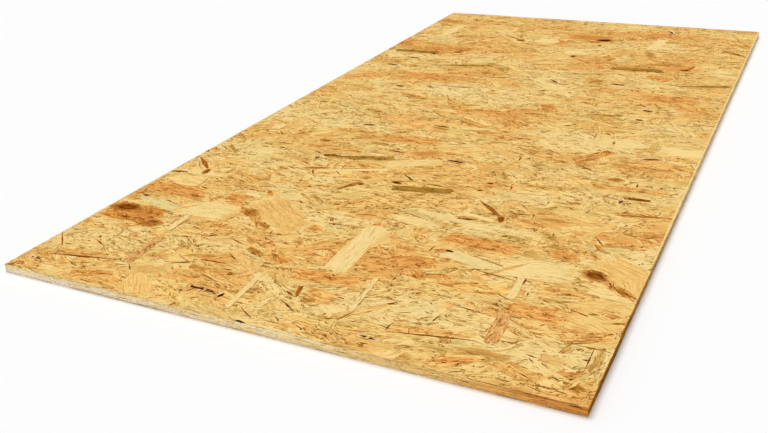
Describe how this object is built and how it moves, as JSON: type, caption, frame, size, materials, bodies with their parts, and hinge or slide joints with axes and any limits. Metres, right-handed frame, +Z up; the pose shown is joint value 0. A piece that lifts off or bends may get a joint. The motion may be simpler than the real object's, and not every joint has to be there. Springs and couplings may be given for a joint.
{
  "type": "oriented strand board panel",
  "caption": "Flat rectangular sheet of pressed wood strands with square-sawn edges, for sheathing walls, roofs and floors.",
  "frame": {"origin": "centre of the underside of the sheet as it lies flat", "axes": "+X across the width to the right, +Y along the length away from the viewer, +Z up through the thickness"},
  "size_m": [1.22, 2.44, 0.018],
  "materials": {
    "pressed_strands": "golden straw wood strands pressed flat in clear resin, satin faces, sawn edges"
  },
  "bodies": {
    "root": {"panel": "pressed_strands"}
  },
  "joints": []
}
